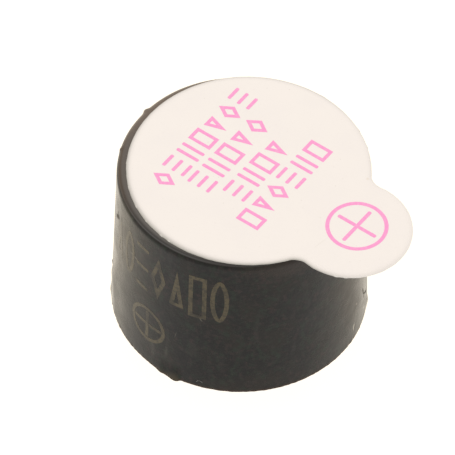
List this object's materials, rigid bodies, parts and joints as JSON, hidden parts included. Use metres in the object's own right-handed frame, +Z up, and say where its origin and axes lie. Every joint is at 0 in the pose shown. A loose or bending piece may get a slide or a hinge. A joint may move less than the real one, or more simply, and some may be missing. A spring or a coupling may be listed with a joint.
{
  "type": "magnetic buzzer",
  "caption": "Round black board-mount magnetic buzzer with a tabbed peel-off seal over its sound hole and straight pins under a resin-sealed base.",
  "frame": {"origin": "centre of the case's rim, in the plane that sits on the circuit board", "axes": "+Z up through the top of the case; +X towards the positive pin, the side that the seal's tab points to; +Y to its left"},
  "size_m": [0.015, 0.012, 0.0125],
  "materials": {
    "case_plastic": "moulded, fine spark texture, faintly glossy",
    "seal_film": "matt coated film",
    "sprung_steel": "rolled",
    "soft_iron": "dull zinc plate",
    "ring_plastic": "moulded",
    "ferrite": "sintered, ground",
    "enamelled_wire": "enamelled copper",
    "board_laminate": "glass laminate",
    "copper_foil": "copper foil",
    "chip_moulding": "moulded",
    "chip_ceramic": "glazed top",
    "tinned_metal": "tin plate",
    "solder": "bright",
    "sealing_resin": "cast, glossy"
  },
  "bodies": {
    "root": {"case": "case_plastic", "seal_label": "seal_film", "diaphragm": "sprung_steel", "armature": "soft_iron", "support_ring": "ring_plastic", "magnet": "ferrite", "core": "soft_iron", "yoke": "soft_iron", "drive_coil": "enamelled_wire", "feedback_coil": "enamelled_wire", "drive_leads": "enamelled_wire", "feedback_leads": "enamelled_wire", "circuit_board": "board_laminate", "board_copper": "copper_foil", "transistor_body": "chip_moulding", "transistor_leads": "tinned_metal", "resistor_body": "chip_ceramic", "resistor_caps": "tinned_metal", "chip_solder": "solder", "lead_solder": "solder", "pin_solder": "solder", "pin_positive": "tinned_metal", "pin_negative": "tinned_metal", "resin": "sealing_resin"}
  },
  "joints": []
}
